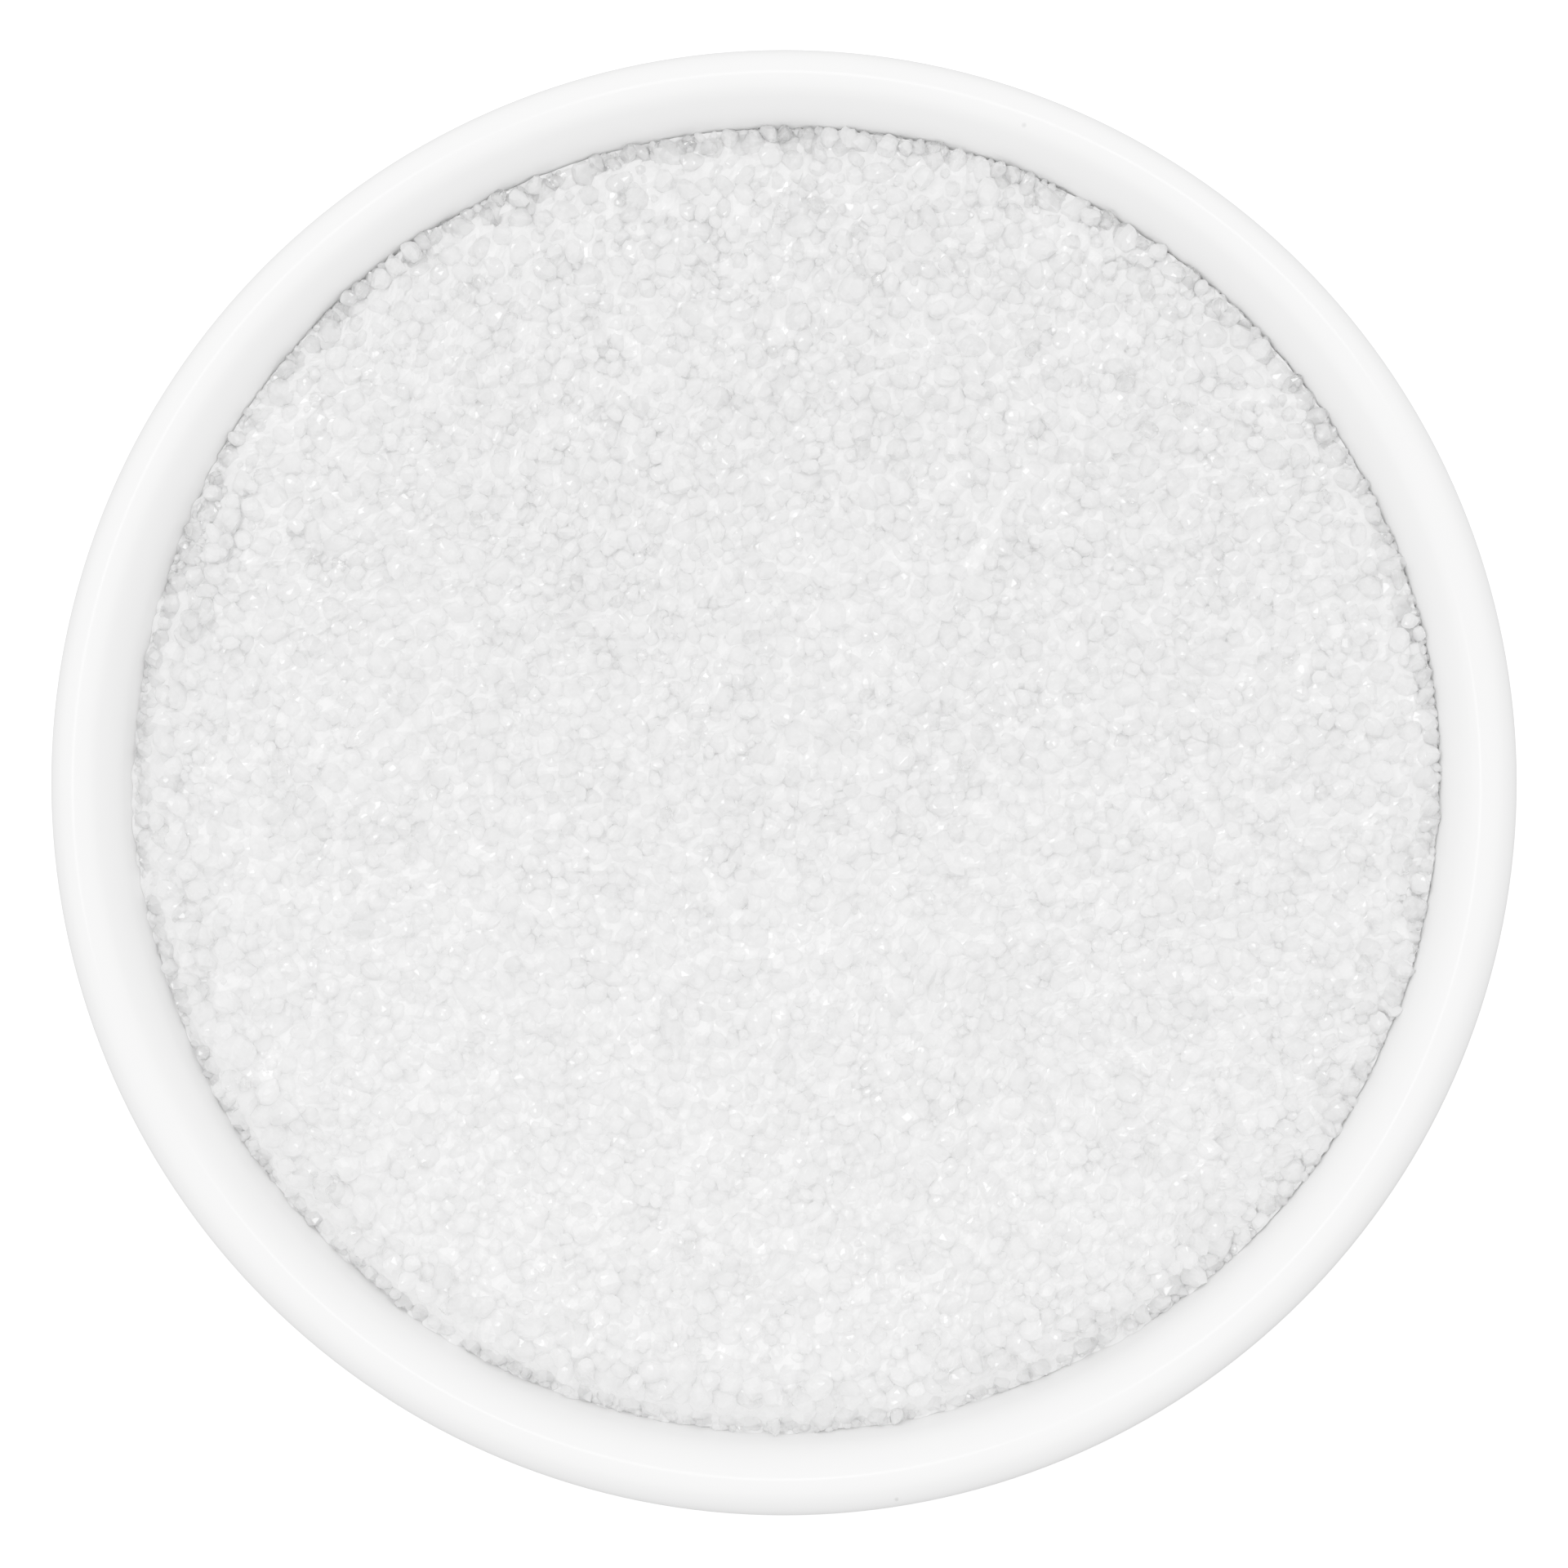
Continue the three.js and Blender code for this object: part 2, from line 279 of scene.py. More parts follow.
def foot_profile(dish):
    """Under the dish, from the outer wall's end round the foot ring to the middle."""
    edge = dish.foot_edge
    outer = arc(np.array([dish.foot_outer_radius - edge, edge]), edge, 0, -STRAIGHT_UP, 5)
    inner = arc(np.array([dish.foot_inner_radius + edge, edge]), edge, -STRAIGHT_UP, -math.pi, 5)
    hollow = arc(
        np.array([dish.foot_inner_radius - edge, dish.foot_recess - edge]),
        edge,
        0,
        STRAIGHT_UP,
        5,
    )
    return np.vstack([outer, inner, hollow, [0, dish.foot_recess]])


def dish_profile(dish, wall):
    """Up the inside, over the lip, down the outside and under the foot."""
    throat = arc(wall.throat, dish.throat_round, wall.facing, wall.inner_lip_end, 8)
    inner_lip = arc(wall.inner_lip, dish.lip_inner_round, wall.inner_lip_end, STRAIGHT_UP, 10)
    outer_lip = arc(wall.outer_lip, dish.lip_round, STRAIGHT_UP, -dish.lip_undercut, 22)
    corner_round = dish.corner_round + dish.wall_thickness
    foot_turn = -math.acos((dish.foot_outer_radius - wall.corner[0]) / corner_round)
    corner = arc(wall.corner, corner_round, wall.facing - math.pi, foot_turn, 14)
    return np.vstack(
        [
            inside_profile(dish, wall, 0, 10),
            throat[1:],
            inner_lip[1:],
            outer_lip[1:],
            under_lip_hollow(dish, wall, outer_lip[-1], 8)[1:],
            corner,
            foot_profile(dish),
        ]
    )


# ---- Meshes


def add_piece(name, points, faces, smooth, *materials):
    """A mesh object, with smooth or flat sides."""
    mesh = bpy.data.meshes.new(name)
    mesh.from_pydata(points, [], faces)
    mesh.polygons.foreach_set("use_smooth", np.full(len(mesh.polygons), smooth))
    for material in materials:
        mesh.materials.append(material)
    piece = bpy.data.objects.new(name, mesh)
    bpy.context.scene.collection.objects.link(piece)
    return piece


def ring_at(radius, height, turns):
    """Points round the axis, at these angles."""
    heights = np.full(len(turns), height)
    return np.column_stack([radius * np.cos(turns), radius * np.sin(turns), heights])


def turned(profile, segments):
    """The points and faces of a profile turned about the axis, on which both its ends lie."""
    turns = np.arange(segments) * FULL_TURN / segments
    rings = [ring_at(radius, height, turns) for radius, height in profile[1:-1]]
    points = np.vstack([*rings, [0, 0, profile[0][1]], [0, 0, profile[-1][1]]])
    first, last = len(points) - 2, len(points) - 1
    here = np.arange(segments)
    beside = np.roll(here, -1)
    faces = [(first, a, b) for a, b in zip(here, beside)]
    for k in range(len(rings) - 1):
        inner, outer = k * segments, (k + 1) * segments
        faces += [(inner + a, outer + a, outer + b, inner + b) for a, b in zip(here, beside)]
    end = (len(rings) - 1) * segments
    faces += [(last, end + b, end + a) for a, b in zip(here, beside)]
    return points, faces


class Heap:
    """The sweetener's outline, the same as the part's own."""

    # Each swell is its height and length in millimetres, its direction in degrees and its phase.
    SWELLS = ((0.14, 21, 40, 1.3), (0.1, 13, 128, 0.4), (0.06, 8.5, 75, 2.2))
    # The steepness at which the ledge begins, and how much more makes it a full one
    LEDGE_BEGINS, LEDGE_GROWS = 0.5, 0.2

    def __init__(self, scene):
        self.settings = scene.sweetener_settings
        self.wall = Wall(scene.dish_settings)
        self.border_height = self.settings.edge_height - self.settings.edge_drop
        gap = self.settings.wall_gap / math.sin(self.wall.slope)
        self.radius = self.wall.radius_at(self.border_height) - gap

    def steepness(self, x, y):
        """1 towards the steep side, down to 0 across from it."""
        return 0.5 + 0.5 * np.cos(np.arctan2(y, x) - self.settings.steep_side)

    def height(self, x, y):
        """The heap's general height at these places, without its crystals."""
        s = self.settings
        radius = np.minimum(np.hypot(x, y), self.radius)
        steepness = self.steepness(x, y)
        shoulder = s.shoulder_wide + (s.shoulder_steep - s.shoulder_wide) * steepness
        height = s.edge_height + s.shoulder_rise * (1 - np.exp((radius - self.radius) / shoulder))
        height += s.dome_rise * (1 - (radius / self.radius) ** 2)
        for rise, span, degrees, phase in self.SWELLS:
            turn = math.radians(degrees)
            along = x * math.cos(turn) + y * math.sin(turn)
            height += rise * MM * np.sin(FULL_TURN * along / (span * MM) + phase)
        return height

    def ledge(self, x, y):
        """1 on the steep side, where the top layer stops short of the wall, down to 0 elsewhere."""
        return np.clip((self.steepness(x, y) - self.LEDGE_BEGINS) / self.LEDGE_GROWS, 0, 1)

    def core_top(self, x, y):
        """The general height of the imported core, which steps down by the wall where the ledge is."""
        s = self.settings
        width = s.core_edge_wide + (s.core_edge_steep - s.core_edge_wide) * self.steepness(x, y)
        nearness = 1 - np.clip((self.radius - np.hypot(x, y)) / width, 0, 1)
        nearness = nearness * nearness * (3 - 2 * nearness)
        rise = s.core_rise + (s.core_edge_rise - s.core_rise) * nearness
        rise = rise - s.ledge_drop * self.ledge(x, y) * nearness
        return self.height(x, y) + rise


# ---- The crystals' shapes


def cube_ball(cuts):
    """A cube's faces in a grid, pushed out onto a unit ball: its points and four-cornered faces."""
    shape = bmesh.new()
    bmesh.ops.create_cube(shape, size=2.0)
    bmesh.ops.subdivide_edges(shape, edges=shape.edges, cuts=cuts, use_grid_fill=True)
    shape.verts.index_update()
    points = np.array([vertex.co.normalized() for vertex in shape.verts])
    faces = np.array([[vertex.index for vertex in face.verts] for face in shape.faces])
    shape.free()
    return points, faces


def spread_directions(rng, count):
    """Unit directions spread all round, and jittered."""
    place = np.arange(count) + 0.5
    height = 1 - 2 * place / count
    turn = place * math.pi * (3 - math.sqrt(5))
    flat = np.sqrt(1 - height**2)
    directions = np.column_stack([flat * np.cos(turn), flat * np.sin(turn), height])
    jitter = 0.22
    directions += rng.normal(0, jitter, directions.shape)
    return directions / np.linalg.norm(directions, axis=1)[:, None]


def rounded_crystal(rng, ball, sides, crispness, stretch):
    """A crystal of flat sides with worn, rounded edges, about one unit in radius."""
    facing = spread_directions(rng, sides)
    distance = rng.uniform(0.78, 1.12, sides)
    toward = np.clip(ball @ facing.T, 0, None) / distance
    reach = (toward**crispness).sum(axis=1) ** (-1 / crispness)
    farthest = 1.35
    points = ball * np.minimum(reach, farthest)[:, None] * stretch
    return points / np.linalg.norm(points, axis=1).mean()


def cut_crystal(rng, stretch):
    """A crystal with flat, sharp-edged sides: a block with its edges and corners cut off."""
    shape = bmesh.new()
    bmesh.ops.create_cube(shape, size=1.6)
    for vertex in shape.verts:
        vertex.co = np.array(vertex.co) + rng.normal(0, 0.1, 3)
    bmesh.ops.bevel(
        shape, geom=shape.edges, offset=rng.uniform(0.3, 0.42), segments=1, affect="EDGES"
    )
    bmesh.ops.bevel(shape, geom=shape.edges, offset=0.035, segments=1, affect="EDGES")
    bmesh.ops.triangulate(shape, faces=shape.faces)
    shape.verts.index_update()
    points = np.array([vertex.co for vertex in shape.verts]) * stretch
    faces = np.array([[vertex.index for vertex in face.verts] for face in shape.faces])
    shape.free()
    return points / np.linalg.norm(points, axis=1).mean(), faces


def turns_for(rng, count, tilt_spread):
    """Rotations of crystals that lie with their long side, X, tilted by about this much."""
    heading = rng.uniform(0, FULL_TURN, count)
    tilt = rng.normal(0, tilt_spread, count)
    spin = rng.uniform(0, FULL_TURN, count)
    ch, sh = np.cos(heading), np.sin(heading)
    ct, st = np.cos(tilt), np.sin(tilt)
    cs, ss = np.cos(spin), np.sin(spin)
    rows = [
        [ch * ct, ch * st * ss - sh * cs, ch * st * cs + sh * ss],
        [sh * ct, sh * st * ss + ch * cs, sh * st * cs - ch * ss],
        [-st, ct * ss, ct * cs],
    ]
    return np.array(rows).transpose(2, 0, 1)


class Ball(NamedTuple):
    """The ball that stands for a crystal while the heap settles."""

    x: float
    y: float
    z: float
    radius: float


class Ring(NamedTuple):
    """A ring of crystals laid along the wall before the others settle."""

    inward: float  # from the wall
    drop: float  # its tops under the heap's edge
    smallest: float  # its crystals' radii
    largest: float
    straying: float  # further inward by up to this
    only_ledge: bool = False


RING_STEPS = (1.45, 2.2)  # from one crystal to the next, in radii
RING_UNEVENNESS = 0.06 * MM  # of the crystals' tops
ENOUGH_LEDGE = 0.3  # for the rings that lie only there
RINGS = (
    Ring(0, 0.6 * MM, 0.4 * MM, 0.6 * MM, 0),
    Ring(0, 0.25 * MM, 0.2 * MM, 0.3 * MM, 0),
    Ring(0, 0.15 * MM, 0.35 * MM, 0.75 * MM, 0.15 * MM),
    Ring(0, -0.1 * MM, 0.3 * MM, 0.65 * MM, 0.3 * MM),
    Ring(1.15 * MM, -0.1 * MM, 0.35 * MM, 0.68 * MM, 0.5 * MM, True),
    Ring(1.6 * MM, -0.1 * MM, 0.35 * MM, 0.6 * MM, 0.7 * MM, True),
)


def line_wall(rng, heap):
    """Rings of crystals against the wall, each over the gaps of the one under it, and the ragged edge of
    the top layer on the ledge's side."""
    s = heap.settings
    balls = []
    for ring in RINGS:
        turn = rng.uniform(0, 0.02)
        while turn < FULL_TURN:
            radius = rng.uniform(ring.smallest, ring.largest)
            inward = ring.inward + rng.uniform(0, ring.straying)
            place = heap.radius - inward
            x, y = place * math.cos(turn), place * math.sin(turn)
            ledge = float(heap.ledge(x, y))
            down = ring.drop + (0 if ring.only_ledge else s.ledge_drop * ledge)
            top = heap.height(x, y) + s.crystal_rise - down + rng.normal(0, RING_UNEVENNESS)
            z = top - radius
            reach = heap.wall.radius_at(z) - inward - radius * heap.wall.lean
            if ledge > ENOUGH_LEDGE or not ring.only_ledge:
                balls.append(Ball(reach * math.cos(turn), reach * math.sin(turn), z, radius))
            turn += rng.uniform(*RING_STEPS) * radius / reach
    return balls


class Drop(NamedTuple):
    """A number of crystals that settle in the dish one after another."""

    count: int
    tries: int  # places that each of them tries
    highest: float  # how far its top may be over the general height of the tops
    deepest: float  # how far its top may be under that
    widths: tuple = ()  # in millimetres


MAIN_DROP = Drop(3600, 16, 0.12 * MM, 0.35 * MM)
MAIN_SPREAD = (2.2, 2.8)  # most widths are a little under the middle one
SMALL_DROPS = (
    Drop(1300, 24, 0.1 * MM, 0.45 * MM, (0.4, 0.75)),
    Drop(900, 24, 0.05 * MM, 0.5 * MM, (0.28, 0.45)),
)
SUNK = (-0.8, 0.0)  # a crystal's middle over the core's top, in radii
CLOSENESS = 0.9  # crystals nestle closer than balls


def settle(rng, heap, radii, drop, balls):
    """Drops balls into the dish one by one. Each tries some places and stays in the deepest one, sunk in
    the core or on the balls that it touches, if its top is between the highest and deepest allowed."""
    s = heap.settings
    tries = drop.tries
    cell = 1.5 * MM  # wider than any two touching balls are apart
    near = defaultdict(list)
    for ball in balls:
        near[int(ball.x // cell), int(ball.y // cell)].append(ball)
    for radius in radii:
        reach = (heap.radius + s.wall_gap - radius) * np.sqrt(rng.random(tries))
        turn = rng.uniform(0, FULL_TURN, tries)
        xs, ys = reach * np.cos(turn), reach * np.sin(turn)
        surfaces = heap.height(xs, ys) + s.crystal_rise
        # On the steep side the top layer stops short of the wall, and the ring under it shows.
        on_ledge = (reach > heap.radius - s.ledge_width) * heap.ledge(xs, ys)
        allowed = drop.highest - s.ledge_drop * on_ledge
        cores = heap.core_top(xs, ys)
        sunk = rng.uniform(*SUNK, tries) * radius
        best, best_depth = None, -math.inf
        for x, y, surface, over, core, sink in zip(
            xs.tolist(),
            ys.tolist(),
            surfaces.tolist(),
            allowed.tolist(),
            cores.tolist(),
            sunk.tolist(),
        ):
            z = max(core + sink, surface - drop.deepest - radius)
            column, row = int(x // cell), int(y // cell)
            for i in (column - 1, column, column + 1):
                for j in (row - 1, row, row + 1):
                    for ball in near[i, j]:
                        across = (x - ball.x) ** 2 + (y - ball.y) ** 2
                        touching = (CLOSENESS * (radius + ball.radius)) ** 2
                        if across < touching:
                            z = max(z, ball.z + math.sqrt(touching - across))
            depth = surface - (z + radius)
            if depth < max(best_depth, -over):
                continue
            if math.hypot(x, y) > heap.wall.radius_at(z) - radius * heap.wall.lean:
                continue
            best, best_depth = Ball(x, y, z, radius), depth
        if best is not None:
            balls.append(best)
            near[int(best.x // cell), int(best.y // cell)].append(best)
    return balls


# ---- Materials


def add_node(tree, kind, **values):
    """A node of this kind. A value goes to the input of that name, spaces as underscores, or else to
    the node's own setting."""
    node = tree.nodes.new(kind)
    for name, value in values.items():
        title = name.replace("_", " ").title()
        if title in node.inputs:
            node.inputs[title].default_value = value
        else:
            setattr(node, name, value)
    return node


def new_material(name, **values):
    """A material of one Principled shader with these values. Returns the material, tree and shader."""
    material = bpy.data.materials.new(name)
    material.use_nodes = True
    tree = material.node_tree
    shader = tree.nodes["Principled BSDF"]
    for title, value in values.items():
        shader.inputs[title.replace("_", " ")].default_value = value
    return material, tree, shader


def noise(tree, feature, detail=2.0):
    """Noise whose features are about this many metres across."""
    place = add_node(tree, "ShaderNodeTexCoord")
    texture = add_node(tree, "ShaderNodeTexNoise", scale=1 / feature, detail=detail)
    tree.links.new(place.outputs["Object"], texture.inputs["Vector"])
    return texture.outputs["Fac"]


def mapped(tree, source, low, high, start=0.3, end=0.7):
    """source from start to end, mapped onto low to high."""
    node = add_node(
        tree, "ShaderNodeMapRange", from_min=start, from_max=end, to_min=low, to_max=high
    )
    tree.links.new(source, node.inputs["Value"])
    return node.outputs["Result"]


def mixer(tree, share, **values):
    """Mixes two colours by share. Returns the sockets of the one, the other and the result."""
    node = add_node(tree, "ShaderNodeMix", data_type="RGBA", **values)
    tree.links.new(share, node.inputs["Factor"])
    one, other = (socket for socket in node.inputs if socket.type == "RGBA")
    return one, other, next(socket for socket in node.outputs if socket.type == "RGBA")


def mixed_colour(tree, share, one, other):
    """A colour between two, by share."""
    one_in, other_in, result = mixer(tree, share)
    one_in.default_value = (*one, 1)
    other_in.default_value = (*other, 1)
    return result


def multiplied(tree, share, colour, factor):
    """A colour socket times a factor, by share."""
    colour_in, factor_in, result = mixer(tree, share, blend_type="MULTIPLY")
    tree.links.new(colour, colour_in)
    factor_in.default_value = (*factor, 1)
    return result


def bumped(tree, shader, height, strength, distance):
    """Relief in the shader's normal."""
    node = add_node(tree, "ShaderNodeBump", strength=strength, distance=distance)
    tree.links.new(height, node.inputs["Height"])
    tree.links.new(node.outputs["Normal"], shader.inputs["Normal"])


def shaded(base, share):
    """A colour times share."""
    return tuple(share * value for value in base)


def pixel_size(stage):
    """How many metres one of the photograph's pixels is at the height of the rim."""
    focal_px = stage.lens / SENSOR_WIDTH * PHOTO_SIDE
    return (stage.camera_height - DISH_BOX[1].z) / focal_px


def speck_places(stage):
    """Where the glaze's two dark specks are seen, in metres across from the dish's middle."""
    scale = pixel_size(stage)
    return [
        ((x - DISH_MIDDLE_PX[0]) * scale, (DISH_MIDDLE_PX[1] - y) * scale)
        for x, y in SPECKS_PX
    ]


SPECK_FADE, SPECK_RADIUS = 0.04 * MM, 0.12 * MM  # it fades out from the first to the second
SPECK_TONE = 0.6


def glaze_material(scene):
    """Glossy white glaze, faintly uneven in tone and surface, with two specks fired into it."""
    dish = scene.dish_settings
    material, tree, shader = new_material("white_glaze", Roughness=0.16, IOR=1.5, Coat_Weight=0.0)
    toned = mixed_colour(
        tree,
        mapped(tree, noise(tree, 9 * MM), 0, 1),
        dish.glaze,
        shaded(dish.glaze, 0.985),
    )
    # A speck is dark within its radius of a line straight down.
    place = add_node(tree, "ShaderNodeTexCoord").outputs["Object"]
    for x, y in speck_places(scene.stage_settings):
        flat = add_node(tree, "ShaderNodeVectorMath", operation="MULTIPLY")
        flat.inputs[1].default_value = (1, 1, 0)
        tree.links.new(place, flat.inputs[0])
        away = add_node(tree, "ShaderNodeVectorMath", operation="DISTANCE")
        away.inputs[1].default_value = (x, y, 0)
        tree.links.new(flat.outputs["Vector"], away.inputs[0])
        inside = mapped(tree, away.outputs["Value"], 1, 0, SPECK_FADE, SPECK_RADIUS)
        glaze_in, speck_in, result = mixer(tree, inside)
        tree.links.new(toned, glaze_in)
        speck_in.default_value = (*shaded(dish.glaze, SPECK_TONE), 1)
        toned = result
    tree.links.new(toned, shader.inputs["Base Color"])
    roughness = mapped(tree, noise(tree, 2.5 * MM), 0.12, 0.2)
    tree.links.new(roughness, shader.inputs["Roughness"])
    bumped(tree, shader, noise(tree, 4 * MM, 1.0), 0.15, 0.05 * MM)
    return material


def bare_clay_material(scene):
    """The foot ring's unglazed, slightly gritty clay."""
    base = scene.dish_settings.bare_clay
    material, tree, shader = new_material("bare_clay", Roughness=0.8)
    grit = noise(tree, 0.3 * MM, 4.0)
    toned = mixed_colour(tree, mapped(tree, grit, 0, 1), base, shaded(base, 0.85))
    tree.links.new(toned, shader.inputs["Base Color"])
    bumped(tree, shader, grit, 0.4, 0.05 * MM)
    return material


class Look(NamedTuple):
    """How one kind of crystal takes the light."""

    clearness: float  # how much of the light goes through it
    bending: float  # its index of refraction among the crystals
    roughness: tuple  # from one crystal to another
    dimmest: float = 0.95  # its darkest tone
    glossy_share: float = 0.35  # of its patches
    gloss_roughness: float = 0.05
    gloss: float = 2.0  # the gloss coat's index of refraction


# The core's colour is dimmed to 0.82 as painted shade for the gaps where it shows between loose crystals
PACKED_LOOK = Look(0, 1.5, (0.6, 0.6), 0.82, 0.3)
CRYSTAL_PATCH, PACKED_PATCH = 0.24 * MM, 0.26 * MM
PATCH_TURN = (0.6, 0.4, 0.9)  # askew to the axes
PATCH_TONE = 0.88  # of the darkest patches
GLOSS_EDGE = 0.02

# Painted shade: the side where the heap's colour is a little darker, in place of the shade that falls on
# that side of the heap, and how far out it is fully so
SHADED_SIDE = (0.15, 0.99, 0.0)
SIDE_SHADE_REACH = 24 * MM


def painted_side_shade(tree):
    """Painted shade: 0 on the heap's lightest side, to 1 across from there."""
    place = add_node(tree, "ShaderNodeTexCoord").outputs["Object"]
    across = add_node(tree, "ShaderNodeVectorMath", operation="DOT_PRODUCT")
    across.inputs[1].default_value = SHADED_SIDE
    tree.links.new(place, across.inputs[0])
    return mapped(tree, across.outputs["Value"], 0, 1, -SIDE_SHADE_REACH, SIDE_SHADE_REACH)


# Painted shade on the low crystals by the wall: how high the lowest of them lie, and where the heap's
# surface is as light as it gets
LOW, HIGH = 17.6 * MM, 19.3 * MM
LOW_SHADE_TONE = 0.88


def painted_low_shade(tree):
    """Painted shade: 1 at the lowest crystals by the wall, down to 0 at the top of the heap's shoulder.
    """
    place = add_node(tree, "ShaderNodeTexCoord").outputs["Object"]
    rise = add_node(tree, "ShaderNodeSeparateXYZ")
    tree.links.new(place, rise.inputs["Vector"])
    return mapped(tree, rise.outputs["Z"], 1, 0, LOW, HIGH)


def patched(tree, shader, look, size):
    """Small worn patches that differ in tone, and in the gloss where some of them glint. Returns their
    tone, from 0 to 1."""
    place = add_node(tree, "ShaderNodeTexCoord").outputs["Object"]
    askew = add_node(tree, "ShaderNodeMapping", rotation=PATCH_TURN)
    tree.links.new(place, askew.inputs["Vector"])
    patch = add_node(tree, "ShaderNodeVectorMath", operation="SNAP")
    patch.inputs[1].default_value = (size, size, size)
    tree.links.new(askew.outputs["Vector"], patch.inputs[0])
    draws = add_node(tree, "ShaderNodeTexWhiteNoise", noise_dimensions="3D")
    tree.links.new(patch.outputs["Vector"], draws.inputs["Vector"])
    tones = add_node(tree, "ShaderNodeSeparateColor")
    tree.links.new(draws.outputs["Color"], tones.inputs["Color"])
    # Only some of them are glossy enough to glint.
    dull = 1 - look.glossy_share
    glossy = mapped(tree, tones.outputs["Green"], 0, 1, dull, dull + GLOSS_EDGE)
    tree.links.new(glossy, shader.inputs["Coat Weight"])
    return tones.outputs["Red"]


def crystal_shader(name, look):
    """A material with a look's clearness and gloss. Returns what new_material does."""
    return new_material(
        name,
        IOR=look.bending,
        Transmission_Weight=look.clearness,
        Coat_Roughness=look.gloss_roughness,
        Coat_IOR=look.gloss,
    )


def crystal_material(name, scene, look):
    """A translucent crystal. Its tone and gloss differ a little from one crystal and patch to the next,
    and painted shade darkens its colour towards one side of the heap and on the lowest crystals by the
    wall."""
    base = scene.sweetener_settings.tint
    material, tree, shader = crystal_shader(name, look)
    island = add_node(tree, "ShaderNodeNewGeometry").outputs["Random Per Island"]
    clear = mixed_colour(tree, mapped(tree, island, 0, 1, 0.3, 1), base, shaded(base, look.dimmest))
    patches = patched(tree, shader, look, CRYSTAL_PATCH)
    clear = multiplied(tree, mapped(tree, patches, 0, 1, 0.2, 1), clear, shaded(WHITE, PATCH_TONE))
    # Painted shade on the heap's darker side
    toned = multiplied(tree, painted_side_shade(tree), clear, scene.sweetener_settings.painted_shade_tint)
    # Painted shade darkens the low crystals by the wall
    toned = multiplied(tree, painted_low_shade(tree), toned, shaded(WHITE, LOW_SHADE_TONE))
    tree.links.new(toned, shader.inputs["Base Color"])
    tree.links.new(mapped(tree, island, *look.roughness, 0, 1), shader.inputs["Roughness"])
    return material


def packed_crystal_material(scene):
    """The core: crystals packed so close that they read as one white mass. Its colour is darker than the
    loose crystals', painted shade for the gaps where it shows between them.
    """
    base = scene.sweetener_settings.tint
    look = PACKED_LOOK
    material, tree, shader = crystal_shader("packed_crystals", look)
    shader.inputs["Roughness"].default_value = look.roughness[0]
    patches = patched(tree, shader, look, PACKED_PATCH)
    # Painted shade: the core's colour is dimmed, as in the gaps between loose crystals
    packed = mixed_colour(
        tree,
        mapped(tree, patches, 0, 1, 0.2, 1),
        shaded(base, look.dimmest),
        shaded(base, look.dimmest * PATCH_TONE),
    )
    # Painted shade on the heap's darker side
    toned = multiplied(tree, painted_side_shade(tree), packed, scene.sweetener_settings.painted_shade_tint)
    tree.links.new(toned, shader.inputs["Base Color"])
    return material


# ---- The pieces


class Kind(NamedTuple):
    """One kind of loose crystal: how common it is, its shapes, how it lies and its look."""

    share: float  # of the crystals that show
    wall_share: float  # the same by the wall
    cuts: int  # of its faces' grid
    sides: int
    crispness: float
    stretch: tuple
    tilt_spread: float
    look: Look


ROUND_STRETCH = (1.12, 1.0, 0.92)
KINDS = {
    "crystals_round": Kind(0.26, 0.24, 3, 12, 9, ROUND_STRETCH, 2.0, Look(0.7, 1.07, (0.3, 0.5))),
    "crystals_long": Kind(
        0.26, 0.2, 3, 11, 11, (1.4, 0.95, 0.85), 0.35, Look(0.7, 1.07, (0.25, 0.45))
    ),
    "crystals_milky": Kind(
        0.36, 0.36, 2, 13, 8, ROUND_STRETCH, 2.0, Look(0.45, 1.06, (0.35, 0.55))
    ),
    "crystals_clear": Kind(
        0.12, 0.2, 3, 11, 14, (1.2, 1.0, 0.88), 0.8, Look(0.85, 1.1, (0.08, 0.25))
    ),
}
LOWER_KIND = Kind(0, 0, 1, 10, 9, ROUND_STRETCH, 2.0, Look(0.6, 1.07, (0.3, 0.5)))
CUT_LOOK = Look(0.8, 1.12, (0.05, 0.15), 0.99, 1.0, 0.05, 1.6)
CUT_SHARE = 0.035
CUT_STRETCH, CUT_TILT_SPREAD = (1.25, 1.0, 0.8), 0.5
BY_THE_WALL = 2 * MM
LOWER_DEPTH = 0.55 * MM  # a crystal whose top is this far under the others' gets few sides
LOWER_RADIUS = 0.25 * MM  # and so does one smaller than this
SHAPES_OF_A_KIND = 14


def copies(rng, shapes, faces, balls, tilt_spread):
    """The joined points and faces of one copy of a shape for each ball."""
    middles = np.array([(b.x, b.y, b.z) for b in balls])
    radii = np.array([b.radius for b in balls])
    turns = turns_for(rng, len(balls), tilt_spread)
    shape = np.stack(shapes)[np.arange(len(balls)) % len(shapes)]
    points = np.einsum("nij,nkj->nki", turns, shape) * radii[:, None, None]
    points += middles[:, None, :]
    first = np.arange(len(balls)) * shape.shape[1]
    all_faces = faces[None] + first[:, None, None]
    return points.reshape(-1, 3), all_faces.reshape(-1, faces.shape[1])


def add_crystals(rng, name, kind, balls, scene):
    """All the rounded crystals of one kind, as one piece."""
    ball, faces = cube_ball(kind.cuts)
    shapes = []
    for _ in range(SHAPES_OF_A_KIND):
        stretch = np.array(kind.stretch) * rng.uniform(0.92, 1.08, 3)
        shapes.append(rounded_crystal(rng, ball, kind.sides, kind.crispness, stretch))
    points, all_faces = copies(rng, shapes, faces, balls, kind.tilt_spread)
    material = crystal_material(name, scene, kind.look)
    return add_piece(name, points, all_faces, False, material)


